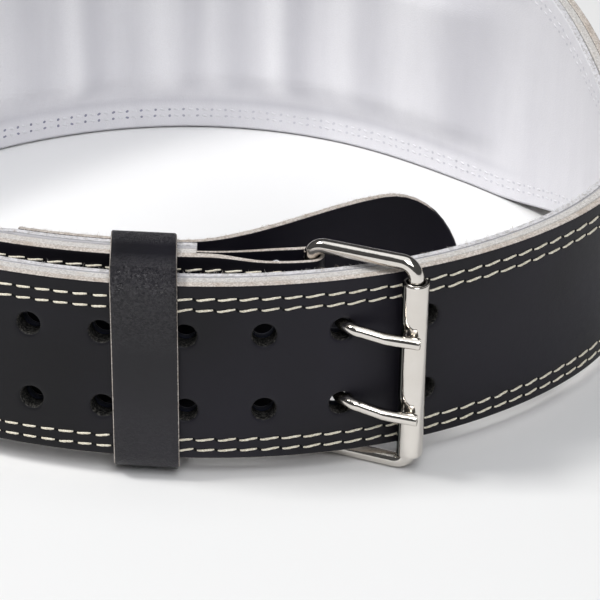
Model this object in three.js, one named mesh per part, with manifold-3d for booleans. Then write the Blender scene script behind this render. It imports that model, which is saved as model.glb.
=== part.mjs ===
// A leather weightlifting belt, buckled and standing on its lower edge.
// One long strip of three layers, outer leather, filler and suede lining, runs from the buckle
// round the left hip, the wide padded back and the right hip, passes behind the roller, over the
// bar and through the keeper, and ends in a rounded tongue outside the buckle end.
// Millimetres, +Z up, +X to the wearer's buckle side as drawn, -Y to the front.
// The part's origin is on the floor under the middle of its box.
import * as THREE from "three";
import { mergeVertices } from "three/addons/utils/BufferGeometryUtils.js";
import Module from "manifold-3d";

// Driving sizes: the closed belt
const ring_width = 324;
const ring_depth = 287;
const back_height = 100;
const strap_width = 63.5;
const wide_length = 284;
const taper_length = 80;
const settle_length = 115;

// Driving sizes: the layers, from the outside in
const leather = 2.8;
const filler = 2.8;
const lining = 2.6;
const seam_gap = 0.3;
const pad_swell = 7;
const pad_border = 12;
const pad_slope = 16;

// Driving sizes: the punched holes and the tongue
const hole_diameter = 7.8;
const hole_pitch = 25.4;
const hole_rows = 27.2;
const pairs_before_prongs = 1;
const pairs_after_prongs = 6;
const tip_margin = 48;

// Driving sizes: the buckle
const frame_wire = 5;
const frame_opening = 68.3;
const frame_reach = 36;
const frame_swing = 22;
const bend_radius = 5;
const roller_diameter = 8.7;
const roller_bore = 6.1;
const roller_length = 63.2;
const roller_lift = 1.3;
const prong_wire = 4;
const prong_eye_wall = 2.2;
const prong_tip_angle = 11;
const prong_overhang = 3;
const prong_bend_back = 8.5;
const prong_lift = 0.9;
const prong_bend_share = 0.65;
const bar_from_middle = 49.2;
const hole_from_bar = 7.2;

// Driving sizes: the buckle end of the strap, folded round the bar
const chape_leather = 1.6;
const chape_width = 60.8;
const chape_opening = 7.8;
const chape_straight = 6;
const skive_start = 14;
const skive_end = 4;
const lining_setback = 40.5;
const flap_leather = 1;
const play_at_bar = 3.8;
const play_at_keeper = 7.4;
const play_at_tip = 3;

// Driving sizes: the keeper and the guard
const keeper_width = 21.4;
const keeper_leather = 1.9;
const keeper_from_bar = 56.3;
const keeper_sag = 2.8;
const keeper_front_fillet = 4;
const keeper_back_fillet = 2.2;
const keeper_skew = 0.13;
const guard_leather = 2.4;
const guard_tuck_leather = 1.6;
const guard_tuck = 63;
const guard_reach = 92;
const guard_stand_off = 37;
const guard_thin_end = 20;
const guard_swing_share = 0.9;
const guard_nose = 27;
const guard_swell = 0.057;

// Clearances
const slide_gap = 0.4;
const turn_gap = 0.3;
const strap_clear_below = 2.5;

// How far apart the sections of the long layers, the chape and the guard are
const strap_step = 10.5;
const chape_step = 7;
const guard_step = 6;

// The ring's outline: each row is the share of a plain ellipse at that place, a sixteenth of a
// turn apart, from the middle of the front round by the left
const ring_outline = [
  { place: "front", share: 0.996 },
  { place: "front, left of the keeper", share: 0.986 },
  { place: "front left", share: 0.992 },
  { place: "left, before the hip", share: 1.003 },
  { place: "left hip", share: 1.0 },
  { place: "left, behind the hip", share: 0.985 },
  { place: "back left", share: 0.963 },
  { place: "back, left of the spine", share: 0.994 },
  { place: "spine", share: 1.008 },
  { place: "back, right of the spine", share: 0.978 },
  { place: "back right", share: 0.922 },
  { place: "right, behind the hip", share: 0.982 },
  { place: "right hip", share: 0.989 },
  { place: "right, before the hip", share: 1.052 },
  { place: "front right", share: 1.034 },
  { place: "front, right of the roller", share: 1.024 },
];

// Soft upright folds of the padded back: at is the place from the spine as a share of half the
// wide length, rise a share of the pad's swell, breadth a share of half the wide length
const pad_folds = [
  { at: 0.68, rise: 0.1, breadth: 0.08 },
  { at: 0.44, rise: 0.22, breadth: 0.06 },
  { at: 0.14, rise: 0.2, breadth: 0.09 },
  { at: -0.02, rise: 0.16, breadth: 0.07 },
  { at: -0.23, rise: 0.26, breadth: 0.06 },
  { at: -0.46, rise: 0.14, breadth: 0.08 },
  { at: -0.72, rise: 0.1, breadth: 0.13 },
];

// Pairs of holes punched off their even place: pair counts from the prongs towards the tip, and
// slip is how far towards the tip the pair is off
const hole_slips = [
  { pair: -1, slip: -3.6 },
  { pair: 3, slip: 1.5 },
];

// Sizes that follow from the ones above
const stack = leather + filler + lining + 2 * seam_gap;
const wire_radius = frame_wire / 2;
const frame_low = wire_radius;
const frame_high = frame_low + frame_wire + frame_opening;
const tongue_middle = frame_wire + strap_clear_below + strap_width / 2;
const buckle_end_middle = frame_high - wire_radius - turn_gap - strap_width / 2;
const prong_heights = [
  { name: "prong_upper", height: tongue_middle + hole_rows / 2, drop: 2 },
  { name: "prong_lower", height: tongue_middle - hole_rows / 2, drop: 2.9 },
];

// Blends from 0 to 1 with level ends as t goes from 0 to 1
const smooth = (t) => THREE.MathUtils.smoothstep(t, 0, 1);
const mix = (from, to, t) => THREE.MathUtils.lerp(from, to, t);

// Evenly spaced places from one to the other, both ends included, no further apart than step
function places(from, to, step) {
  const count = Math.max(1, Math.ceil(Math.abs(to - from) / step));
  return Array.from({ length: count + 1 }, (_, i) => mix(from, to, i / count));
}

// The closed belt's outline seen from above: an ellipse whose radius is scaled by a smooth curve
// (uniform cubic B-spline) through the shares of the outline table
class RingCurve extends THREE.Curve {
  share_at(turn) {
    const rows = ring_outline.length;
    const cell = Math.floor(turn * rows);
    const t = turn * rows - cell;
    const weights = [
      (1 - t) ** 3,
      3 * t ** 3 - 6 * t ** 2 + 4,
      -3 * t ** 3 + 3 * t ** 2 + 3 * t + 1,
      t ** 3,
    ];
    const shares = weights.map((weight, i) => {
      const row = (cell + i - 1 + rows) % rows;
      return (weight / 6) * ring_outline[row].share;
    });
    return shares.reduce((sum, share) => sum + share, 0);
  }
  getPoint(turn, target = new THREE.Vector3()) {
    const angle = 2 * Math.PI * turn;
    const share = this.share_at(turn % 1);
    const x = (-ring_width / 2) * share * Math.sin(angle);
    const y = (-ring_depth / 2) * share * Math.cos(angle);
    return target.set(x, y, 0);
  }
}

const ring = new RingCurve();
ring.arcLengthDivisions = 1440;
const ring_length = ring.getLength();

// Places along the strap are arc lengths on the ring, 0 at the middle of the front and growing
// to the left, so the buckle end starts below 0 and the tongue ends past a whole turn
const bar_place = -bar_from_middle;
const spine_place = ring_length / 2;
const hole_place = ring_length + bar_place - hole_from_bar;
const tip_place = hole_place + pairs_after_prongs * hole_pitch + tip_margin;
const tip_overlap = tip_place - ring_length - bar_place;
const keeper_place = bar_place + keeper_from_bar;
const keeper_edge = keeper_place - keeper_width / 2;

// How far the strap's outer face lies inside the ring: the buckle end is under the tongue, by
// the tongue's thickness and some play, and comes out to the ring beyond the tongue's tip
function inset(place) {
  const from_bar = place - bar_place;
  if (from_bar > ring_length / 2) return 0;
  const near = mix(play_at_bar, play_at_keeper, smooth(from_bar / lining_setback));
  const along = (from_bar - lining_setback) / (tip_overlap - lining_setback);
  const play = mix(near, play_at_tip, smooth(along));
  const fade = (from_bar - tip_overlap) / (ring_length / 2 - tip_overlap);
  return (stack + play) * (1 - smooth(fade * 2));
}

// A plan point of the strap: at a place, and so deep inwards from the strap's outer face
function plan(place, depth) {
  const turn = (((place / ring_length) % 1) + 1) % 1;
  const tangent = ring.getTangentAt(turn);
  const inward = new THREE.Vector3(tangent.y, -tangent.x, 0);
  return ring.getPointAt(turn).addScaledVector(inward, inset(place) + depth);
}

// The middle height and the width of the strap at a place: tall at the back, then an S-shaped
// taper to the narrow strap, which sinks from there to the buckle's height
function middle_height(place) {
  const from_wide = Math.abs(place - spine_place) - wide_length / 2;
  const front = place < spine_place ? buckle_end_middle : tongue_middle;
  return mix(back_height / 2, front, smooth(from_wide / settle_length));
}

function width_at(place) {
  const from_wide = Math.abs(place - spine_place) - wide_length / 2;
  const full = mix(back_height, strap_width, smooth(from_wide / taper_length));
  const past = place - (tip_place - strap_width / 2);
  if (past <= 0) return full;
  return full * Math.sqrt(Math.max(0, 1 - (past / (strap_width / 2)) ** 2));
}

// A section of a strap: four corners from two plan points, the middle height and the width
function strap_section(outer, inner, middle, width) {
  const low = middle - width / 2;
  const high = middle + width / 2;
  return [
    new THREE.Vector3(outer.x, outer.y, low),
    new THREE.Vector3(outer.x, outer.y, high),
    new THREE.Vector3(inner.x, inner.y, high),
    new THREE.Vector3(inner.x, inner.y, low),
  ];
}

// A closed skin through sections with the same number of corners, with flat ends, or without
// ends where the last section joins the first
function loft(sections, joined = false) {
  const corners = sections[0].length;
  const index = [];
  const spans = joined ? sections.length : sections.length - 1;
  for (let s = 0; s < spans; s += 1) {
    const here = s * corners;
    const next = ((s + 1) % sections.length) * corners;
    for (let c = 0; c < corners; c += 1) {
      const d = (c + 1) % corners;
      index.push(here + c, here + d, next + d);
      index.push(here + c, next + d, next + c);
    }
  }
  if (!joined) {
    const last = (sections.length - 1) * corners;
    for (let c = 1; c < corners - 1; c += 1) {
      index.push(0, c + 1, c);
      index.push(last, last + c, last + c + 1);
    }
  }
  const geometry = new THREE.BufferGeometry().setFromPoints(sections.flat());
  geometry.setIndex(index);
  return volume_of(geometry) < 0 ? turned_out(geometry) : geometry;
}

// Six times the volume inside an indexed skin, below zero where its faces point inwards
function volume_of(geometry) {
  const points = geometry.getAttribute("position");
  const corner = (i) => new THREE.Vector3().fromBufferAttribute(points, geometry.index.getX(i));
  let volume = 0;
  for (let i = 0; i < geometry.index.count; i += 3) {
    volume += corner(i).dot(corner(i + 1).cross(corner(i + 2)));
  }
  return volume;
}

function turned_out(geometry) {
  const index = Array.from(geometry.index.array);
  geometry.setIndex(index.map((_, i) => index[i - (i % 3) + (2 - (i % 3))]));
  return geometry;
}

// Solids for joining and cutting, and back to a geometry
function solid_of(geometry) {
  const bare = geometry.clone();
  bare.deleteAttribute("normal");
  bare.deleteAttribute("uv");
  const merged = mergeVertices(bare, 1e-4);
  return new wasm.Manifold(
    new wasm.Mesh({
      numProp: 3,
      vertProperties: new Float32Array(merged.getAttribute("position").array),
      triVerts: new Uint32Array(merged.index.array),
    })
  );
}

function geometry_of(solid) {
  const mesh = solid.getMesh();
  const geometry = new THREE.BufferGeometry();
  geometry.setAttribute("position", new THREE.BufferAttribute(mesh.vertProperties, 3));
  geometry.setIndex(new THREE.BufferAttribute(mesh.triVerts, 1));
  return geometry;
}

const wasm = await Module();
wasm.setup();

// Bores through the tongue for every pair of holes, square to the strap's face
function hole_bores() {
  const bores = [];
  const length = 3 * stack;
  for (let pair = -pairs_before_prongs; pair <= pairs_after_prongs; pair += 1) {
    const off = hole_slips.find((row) => row.pair === pair);
    const place = hole_place + pair * hole_pitch + (off ? off.slip : 0);
    const middle = plan(place, stack / 2);
    const inward = plan(place, stack).sub(plan(place, 0)).normalize();
    for (const { height } of prong_heights) {
      const bore = new THREE.CylinderGeometry(hole_diameter / 2, hole_diameter / 2, length, 12);
      const turn = new THREE.Quaternion().setFromUnitVectors(new THREE.Vector3(0, 1, 0), inward);
      bore.applyQuaternion(turn);
      bore.translate(middle.x, middle.y, height);
      bores.push(solid_of(bore));
    }
  }
  return bores;
}

function with_holes(geometry) {
  const drilled = hole_bores().reduce((body, bore) => body.subtract(bore), solid_of(geometry));
  return geometry_of(drilled);
}

// Places along the strap for its sections, close together round the tongue's tip
function strap_places(from) {
  const nose = strap_width / 2;
  const body = places(from, tip_place - nose, strap_step);
  const round = [0.3, 0.55, 0.75, 0.9, 0.985].map((share) => tip_place - nose + share * nose);
  return body.concat(round);
}

// The outer leather: a thin flap comes out from between filler and lining, goes round the bar
// as the chape, thickens to the full leather and runs to the tongue's tip
const loop_place = bar_place + slide_gap / 2;
const loop_depth = chape_leather + chape_opening / 2;
const lining_place = bar_place + lining_setback;
const guard_place = keeper_edge + guard_tuck;
const filler_depth = leather + seam_gap;
const lining_depth = filler_depth + filler + seam_gap;
const splay = flap_leather + seam_gap;
const room_fade = 9;
const guard_depth = lining_depth + splay + lining + seam_gap;

function outer_leather() {
  const sections = [];
  const chape_section = (outer, inner) =>
    sections.push(strap_section(outer, inner, buckle_end_middle, chape_width));
  for (const place of places(guard_place - 2, lining_place, strap_step)) {
    chape_section(plan(place, lining_depth + flap_leather), plan(place, lining_depth));
  }
  for (const place of places(lining_place - skive_end, loop_place + chape_straight, chape_step)) {
    const t = smooth((lining_place - place) / (lining_place - loop_place - chape_straight));
    const face = mix(lining_depth + flap_leather, 2 * loop_depth, t);
    const thickness = mix(flap_leather, chape_leather, t);
    chape_section(plan(place, face), plan(place, face - thickness));
  }
  for (const turn of places(Math.PI / 2, -Math.PI / 2, Math.PI / 10)) {
    const on_loop = (radius) =>
      plan(loop_place - radius * Math.cos(turn), loop_depth + radius * Math.sin(turn));
    chape_section(on_loop(loop_depth), on_loop(loop_depth - chape_leather));
  }
  for (const place of strap_places(loop_place + chape_straight)) {
    const past_thin = place - loop_place - skive_start;
    const t = smooth(past_thin / (lining_setback - skive_start - skive_end));
    const thickness = mix(chape_leather, leather, t);
    const width = place < spine_place ? mix(chape_width, width_at(place), t) : width_at(place);
    sections.push(strap_section(plan(place, 0), plan(place, thickness), middle_height(place), width));
  }
  return with_holes(geometry_of(prong_slots().reduce(cut, solid_of(loft(sections)))));
}

const cut = (body, cutter) => body.subtract(cutter);

// Slots through the chape where the prongs sit on the bar, from behind their eyes to its fold
function prong_slots() {
  const along = plan(loop_place - 1, 0).sub(plan(loop_place, 0)).normalize();
  const turn = Math.atan2(along.y, along.x);
  const slot_end = loop_place - loop_depth - slide_gap;
  const slot_start = bar_place + eye_radius + 2 * turn_gap;
  const middle = plan((slot_start + slot_end) / 2, loop_depth);
  return prong_heights.map(({ height }) => {
    const length = slot_start - slot_end;
    const across = 2 * loop_depth + 2 * slide_gap;
    const slot = new THREE.BoxGeometry(length, across, prong_wire + 4 * turn_gap);
    slot.rotateZ(turn);
    slot.translate(middle.x, middle.y, height);
    return solid_of(slot);
  });
}

// The filler between the two leathers, seen as the middle line of the strap's edge
function filler_layer() {
  const sections = strap_places(lining_place).map((place) => {
    const outer = plan(place, filler_depth);
    const inner = plan(place, filler_depth + filler);
    return strap_section(outer, inner, middle_height(place), width_at(place));
  });
  return with_holes(loft(sections));
}

// How far the lining stands in over the pad, at a place and a height above the lower edge:
// nothing in the border, then a soft slope, with upright folds, fading out before the tapers
function pad_rise(place, above) {
  const from_spine = Math.abs(place - spine_place);
  const ends = 1 - smooth((from_spine - 0.4 * wide_length) / (0.14 * wide_length));
  const edge = Math.min(above, width_at(place) - above) - pad_border;
  const crown = smooth(edge / pad_slope);
  const half = wide_length / 2;
  const folds = pad_folds.map(({ at, rise, breadth }) => {
    const off = (spine_place + at * -half - place) / (breadth * half);
    return rise * Math.exp(-off * off);
  });
  return pad_swell * ends * crown * (0.7 + folds.reduce((sum, fold) => sum + fold, 0));
}

// The suede lining: its inner face carries the padded back, and it makes room for the flap
function lining_layer() {
  const levels = [0, 0.12, 0.2, 0.28, 0.5, 0.72, 0.8, 0.88, 1];
  const sections = strap_places(lining_place).map((place) => {
    const past_flap = (place - guard_place) / room_fade;
    const room = place < spine_place ? splay * (1 - smooth(past_flap)) : 0;
    const outer = plan(place, lining_depth + room);
    const low = middle_height(place) - width_at(place) / 2;
    const high = low + width_at(place);
    const inner = levels.map((level) => {
      const above = level * width_at(place);
      const point = plan(place, lining_depth + room + lining + pad_rise(place, above));
      return point.setZ(low + above);
    });
    const front = [
      new THREE.Vector3(outer.x, outer.y, high),
      new THREE.Vector3(outer.x, outer.y, low),
    ];
    return inner.concat(front);
  });
  return with_holes(loft(sections));
}

// The guard: a single leather stitched behind the lining and past the keeper, whose free end
// swings in behind the buckle so that no metal touches the body, with a half-round end
function guard() {
  const width = strap_width;
  const sections = [];
  for (const place of places(guard_place, keeper_edge, guard_step)) {
    const outer = plan(place, guard_depth);
    const inner = plan(place, guard_depth + guard_tuck_leather);
    sections.push(strap_section(outer, inner, buckle_end_middle, width));
  }
  const root = plan(keeper_edge, guard_depth);
  const along = plan(keeper_edge - 1, 0).sub(plan(keeper_edge, 0)).normalize();
  const inward = new THREE.Vector3(-along.y, along.x, 0);
  const swing = (x) => guard_stand_off * smooth(x / (guard_swing_share * guard_reach));
  const nose = guard_nose;
  const body = places(guard_step / 2, guard_reach - nose, guard_step);
  const round = [0.2, 0.4, 0.58, 0.73, 0.85, 0.93, 0.98].map((t) => guard_reach - nose + t * nose);
  for (const x of body.concat(round)) {
    const slope = swing(x + 0.5) - swing(x - 0.5);
    const across = along.clone().multiplyScalar(-slope).add(inward).normalize();
    const outer = root.clone().addScaledVector(along, x).addScaledVector(inward, swing(x));
    const thickness = mix(guard_tuck_leather, guard_leather, smooth(x / guard_thin_end));
    const inner = outer.clone().addScaledVector(across, thickness);
    const past = Math.max(0, x - guard_reach + nose) / nose;
    const swell = 1 + guard_swell * smooth(x / (guard_reach - nose));
    const span = width * swell * Math.sqrt(1 - past * past);
    sections.push(strap_section(outer, inner, buckle_end_middle, span));
  }
  return loft(sections);
}

// The buckle, seen from above: the bar lies in the chape, the roller in front of the strap
const eye_radius = wire_radius + turn_gap + prong_eye_wall;
const swing_angle = THREE.MathUtils.degToRad(frame_swing);
const reach_direction = new THREE.Vector3(Math.cos(swing_angle), -Math.sin(swing_angle), 0);

function bar_centre() {
  return plan(bar_place, chape_leather + slide_gap + wire_radius);
}

function roller_centre() {
  return bar_centre().addScaledVector(reach_direction, frame_reach);
}

// A round section of a wire: centre, and two directions across the wire
function wire_section(centre, across, up, radius, sides) {
  return places(0, 2 * Math.PI, (2 * Math.PI) / sides)
    .slice(1)
    .map((turn) => {
      const point = centre.clone().addScaledVector(across, radius * Math.cos(turn));
      return point.addScaledVector(up, radius * Math.sin(turn));
    });
}

// The frame: one wire bent to a rectangle with round corners and welded shut
function buckle_frame() {
  const bar = bar_centre();
  const side = new THREE.Vector3(-reach_direction.y, reach_direction.x, 0);
  const corners = [
    { out: frame_reach - bend_radius, up: frame_low + bend_radius, from: -0.5 },
    { out: frame_reach - bend_radius, up: frame_high - bend_radius, from: 0 },
    { out: bend_radius, up: frame_high - bend_radius, from: 0.5 },
    { out: bend_radius, up: frame_low + bend_radius, from: 1 },
  ];
  const sections = [];
  for (const { out, up, from } of corners) {
    for (const turn of places(from * Math.PI, (from + 0.5) * Math.PI, Math.PI / 12)) {
      const away = reach_direction.clone().multiplyScalar(Math.cos(turn));
      away.z = Math.sin(turn);
      const centre = bar.clone().addScaledVector(reach_direction, out);
      centre.z = up;
      centre.addScaledVector(away, bend_radius);
      sections.push(wire_section(centre, side, away, wire_radius, 12));
    }
  }
  return loft(sections, true);
}

// A tube round an upright axis
function upright_tube(inner, outer, length, sides) {
  const profile = [
    new THREE.Vector2(inner, 0),
    new THREE.Vector2(outer, 0),
    new THREE.Vector2(outer, length),
    new THREE.Vector2(inner, length),
    new THREE.Vector2(inner, 0),
  ];
  return new THREE.LatheGeometry(profile, sides).rotateX(Math.PI / 2);
}

// The roller: a plain tube that turns on the frame's outer wire and rests on its lower bend
function roller() {
  const centre = roller_centre();
  const tube = upright_tube(roller_bore / 2, roller_diameter / 2, roller_length, 20);
  tube.translate(centre.x, centre.y, frame_wire + roller_lift);
  return geometry_of(solid_of(tube));
}

// A prong: an eye round the bar and a wire that goes up through the strap's hole, clears the
// hole's far edge, dips a little and lies on the roller with its cut end just past it
function prong(height, drop) {
  const bar = bar_centre();
  const roll = roller_centre();
  const radius = prong_wire / 2;
  const tip_angle = THREE.MathUtils.degToRad(prong_tip_angle);
  const tip_along = new THREE.Vector3(Math.cos(tip_angle), -Math.sin(tip_angle), 0);
  const tip_out = new THREE.Vector3(-Math.sin(tip_angle), -Math.cos(tip_angle), 0);
  const rest = roll.addScaledVector(tip_out, roller_diameter / 2 + radius + turn_gap / 2);
  const hole_edge = hole_diameter / 2;
  const route = [
    { place: 0.7, depth: stack + 1.8, lift: 0 },
    { place: -0.2, depth: stack - 2.2, lift: prong_lift / 2 },
    { place: -0.2, depth: leather, lift: prong_lift },
    { place: -0.8 * hole_edge, depth: -radius - 2 * slide_gap, lift: prong_lift },
  ];
  const points = route.map(({ place, depth, lift }) => plan(hole_place + place, depth).setZ(lift));
  const bend = rest.clone().addScaledVector(tip_along, -prong_bend_back);
  bend.z = -drop * prong_bend_share;
  const clear = points[points.length - 1].clone();
  points.push(clear.clone().lerp(bend, 0.3), clear.clone().lerp(bend, 0.85), bend);
  points.push(rest.clone().addScaledVector(tip_along, prong_overhang).setZ(-drop));
  const root = bar.clone();
  const root_out = points[0].clone().sub(bar).normalize();
  root.addScaledVector(root_out, eye_radius - prong_eye_wall / 2);
  const path = new THREE.CatmullRomCurve3([root, ...points]);
  const steps = 20;
  const up = new THREE.Vector3(0, 0, 1);
  const sections = places(0, 1, 1 / steps).map((t) => {
    const ahead = path.getTangentAt(t);
    const across = ahead.clone().cross(up).normalize();
    return wire_section(path.getPointAt(t), across, across.clone().cross(ahead), radius, 10);
  });
  const eye = upright_tube(eye_radius - prong_eye_wall, eye_radius, prong_wire, 16);
  eye.translate(bar.x, bar.y, -prong_wire / 2);
  const joined = geometry_of(solid_of(loft(sections)).add(solid_of(eye)));
  return joined.translate(0, 0, height);
}

// The keeper: a leather band round the tongue and the buckle end, closed behind, drawn as its
// outline across the strap, a little skewed, and carried along the strap by its width
function keeper() {
  const middle = plan(keeper_place, 0);
  const face = plan(keeper_place + ring_length, 0);
  const inward = middle.clone().sub(face).normalize();
  const front = -slide_gap;
  const back = inset(keeper_place) + guard_depth + guard_tuck_leather + 3 * slide_gap;
  const low = tongue_middle - strap_width / 2 - keeper_sag;
  const high = buckle_end_middle + strap_width / 2 + slide_gap;
  const outline = (grow) => {
    const shape = new THREE.Shape();
    const fillets = [
      { across: front, up: low, radius: keeper_front_fillet, start: 1 },
      { across: back, up: low, radius: keeper_back_fillet, start: 1.5 },
      { across: back, up: high, radius: keeper_back_fillet, start: 0 },
      { across: front, up: high, radius: keeper_front_fillet, start: 0.5 },
    ];
    for (const { across, up, radius, start } of fillets) {
      const x = across + radius * (across === front ? 1 : -1);
      const y = up + radius * (up === low ? 1 : -1);
      shape.absarc(x, y, radius + grow, start * Math.PI, (start + 0.5) * Math.PI);
    }
    return shape;
  };
  const band = outline(keeper_leather);
  band.holes.push(outline(0));
  const depth = keeper_width;
  const geometry = new THREE.ExtrudeGeometry(band, { depth, bevelEnabled: false, curveSegments: 5 });
  geometry.translate(0, 0, -depth / 2);
  const up = new THREE.Vector3(0, 0, 1);
  const along = inward.clone().cross(up);
  const skewed = inward.clone().addScaledVector(along, -keeper_skew);
  geometry.applyMatrix4(new THREE.Matrix4().makeBasis(skewed, up, along));
  geometry.translate(face.x, face.y, 0);
  return geometry_of(solid_of(geometry));
}

// Finishes: colour, roughness and metalness of each piece
const finishes = {
  black_leather: { color: 0x232226, roughness: 0.45, metalness: 0 },
  filler_board: { color: 0xbdbab8, roughness: 0.95, metalness: 0 },
  grey_suede: { color: 0xd9d9dc, roughness: 0.95, metalness: 0 },
  nickel: { color: 0xd6d3cd, roughness: 0.2, metalness: 1 },
};

const pieces = [
  { name: "outer_leather", geometry: outer_leather(), finish: "black_leather" },
  { name: "filler", geometry: filler_layer(), finish: "filler_board" },
  { name: "lining", geometry: lining_layer(), finish: "grey_suede" },
  { name: "guard", geometry: guard(), finish: "black_leather" },
  { name: "keeper", geometry: keeper(), finish: "black_leather" },
  { name: "buckle_frame", geometry: buckle_frame(), finish: "nickel" },
  { name: "roller", geometry: roller(), finish: "nickel" },
];
for (const { name, height, drop } of prong_heights) {
  pieces.push({ name, geometry: prong(height, drop), finish: "nickel" });
}

const belt = new THREE.Group();
for (const { name, geometry, finish } of pieces) {
  const mesh = new THREE.Mesh(geometry, new THREE.MeshStandardMaterial(finishes[finish]));
  mesh.name = name;
  belt.add(mesh);
}

// The middle of the box goes over the origin, with the lowest edge on the floor
const box = new THREE.Box3().setFromObject(belt);
const middle = box.getCenter(new THREE.Vector3());
belt.position.set(-middle.x, -middle.y, -box.min.z);

export default belt;
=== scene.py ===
# The looks of a leather weightlifting belt, buckled and standing on its lower edge.
import math

import bpy
import numpy as np
from mathutils import Matrix, Vector


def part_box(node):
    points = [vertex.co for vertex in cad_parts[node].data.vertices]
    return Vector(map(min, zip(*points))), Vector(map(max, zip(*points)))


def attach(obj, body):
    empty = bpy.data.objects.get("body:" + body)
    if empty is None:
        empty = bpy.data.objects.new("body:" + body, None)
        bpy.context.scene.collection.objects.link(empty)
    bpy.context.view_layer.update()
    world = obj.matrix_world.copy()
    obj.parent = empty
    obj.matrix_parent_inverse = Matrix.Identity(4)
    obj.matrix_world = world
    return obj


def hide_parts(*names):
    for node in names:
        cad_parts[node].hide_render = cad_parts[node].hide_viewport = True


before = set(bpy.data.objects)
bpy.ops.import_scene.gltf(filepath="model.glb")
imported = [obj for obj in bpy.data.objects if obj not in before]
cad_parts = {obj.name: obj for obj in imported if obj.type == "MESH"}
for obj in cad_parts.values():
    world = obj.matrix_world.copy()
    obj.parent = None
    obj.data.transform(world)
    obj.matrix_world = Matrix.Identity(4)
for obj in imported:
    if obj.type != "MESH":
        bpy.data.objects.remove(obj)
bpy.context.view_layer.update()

# The camera: a long lens well in front of the buckle, looking down on the belt.
camera_place = Vector((0.0402, -0.80427, 0.423))
camera_pitch = math.radians(28.3)
camera_roll = math.radians(0.8)
camera = bpy.data.objects.new("camera", bpy.data.cameras.new("camera"))
camera.data.lens = 144
level = Matrix.Rotation(math.pi / 2 - camera_pitch, 4, "X") @ Matrix.Rotation(camera_roll, 4, "Z")
camera.matrix_world = Matrix.Translation(camera_place) @ level
bpy.context.scene.collection.objects.link(camera)
bpy.context.scene.camera = camera


# The outer leather: one long strip of black bridle leather, 2.8 mm thick, cut with the wide back
# in its middle. Its buckle end is skived thin and folded round the buckle's bar, its other end is
# the rounded tongue with pairs of punched holes. Cut edges are left raw, so they show beige.
ring_width = 324
ring_depth = 287
back_height = 100
strap_width = 63.5
wide_length = 284
taper_length = 80
settle_length = 115
leather = 2.8
filler = 2.8
lining = 2.6
seam_gap = 0.3
stack = leather + filler + lining + 2 * seam_gap
hole_pitch = 25.4
hole_rows = 27.2
tip_margin = 48
frame_wire = 5
frame_opening = 68.3
frame_reach = 36
frame_swing = math.radians(22)
bar_from_middle = 49.2
hole_from_bar = 7.2
chape_leather = 1.6
chape_width = 60.8
chape_opening = 7.8
chape_straight = 6
skive_start = 14
skive_end = 4
lining_setback = 40.5
flap_leather = 1
play_at_bar = 3.8
play_at_keeper = 7.4
play_at_tip = 3
keeper_width = 21.4
keeper_from_bar = 56.3
guard_tuck = 63
prong_wire = 4
prong_eye_wall = 2.2
slide_gap = 0.4
turn_gap = 0.3
strap_clear_below = 2.5

# Radius of the belt's outline as a share of a plain ellipse, a sixteenth of a turn apart, from the
# middle of the front round by the left
ring_shares = np.array(
    [0.996, 0.986, 0.992, 1.003, 1.0, 0.985, 0.963, 0.994]
    + [1.008, 0.978, 0.922, 0.982, 0.989, 1.052, 1.034, 1.024]
)


def smooth(t):
    """Blend from 0 to 1 with level ends as t goes from 0 to 1"""
    t = np.clip(t, 0, 1)
    return t * t * (3 - 2 * t)


def mix(first, second, t):
    return first + (second - first) * t


def ring_point(turn):
    """Ellipse whose radius is scaled by a uniform cubic B-spline of the outline's shares"""
    cell = np.floor(turn * 16).astype(int)
    t = turn * 16 - cell
    weights = [(1 - t) ** 3, 3 * t**3 - 6 * t**2 + 4, -3 * t**3 + 3 * t**2 + 3 * t + 1, t**3]
    share = sum(w / 6 * ring_shares[(cell + i - 1) % 16] for i, w in enumerate(weights))
    angle = 2 * np.pi * turn
    x = -ring_width / 2 * share * np.sin(angle)
    y = -ring_depth / 2 * share * np.cos(angle)
    return np.stack([x, y], -1)


turn_table = np.linspace(0, 1, 5761)
arc_steps = np.linalg.norm(np.diff(ring_point(turn_table), axis=0), axis=1)
arc_table = np.concatenate([[0], np.cumsum(arc_steps)])
ring_length = arc_table[-1]

# Places along the strap are arc lengths from the middle of the front, growing to the left
bar_place = -bar_from_middle
spine_place = ring_length / 2
hole_place = ring_length + bar_place - hole_from_bar
tip_place = hole_place + 6 * hole_pitch + tip_margin
tip_overlap = tip_place - ring_length - bar_place
keeper_place = bar_place + keeper_from_bar
keeper_edge = keeper_place - keeper_width / 2
loop_place = bar_place + slide_gap / 2
loop_depth = chape_leather + chape_opening / 2
lining_place = bar_place + lining_setback
guard_place = keeper_edge + guard_tuck
filler_depth = leather + seam_gap
lining_depth = filler_depth + filler + seam_gap
splay = flap_leather + seam_gap
nose = strap_width / 2
tongue_middle = frame_wire + strap_clear_below + nose
frame_high = frame_wire * 1.5 + frame_opening
buckle_end_middle = frame_high - frame_wire / 2 - turn_gap - nose


def inset(place):
    """How far the outer face lies inside the ring: the buckle end is under the tongue"""
    from_bar = place - bar_place
    near = mix(play_at_bar, play_at_keeper, smooth(from_bar / lining_setback))
    along = (from_bar - lining_setback) / (tip_overlap - lining_setback)
    play = mix(near, play_at_tip, smooth(along))
    fade = (from_bar - tip_overlap) / (ring_length / 2 - tip_overlap)
    under = (stack + play) * (1 - smooth(fade * 2))
    return np.where(from_bar > ring_length / 2, 0, under)


def inward_at(turn):
    """Direction square to the ring, towards its inside"""
    ahead = ring_point(turn + 1e-4) - ring_point(turn - 1e-4)
    ahead /= np.linalg.norm(ahead, axis=-1, keepdims=True)
    return np.stack([ahead[..., 1], -ahead[..., 0]], -1)


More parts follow.
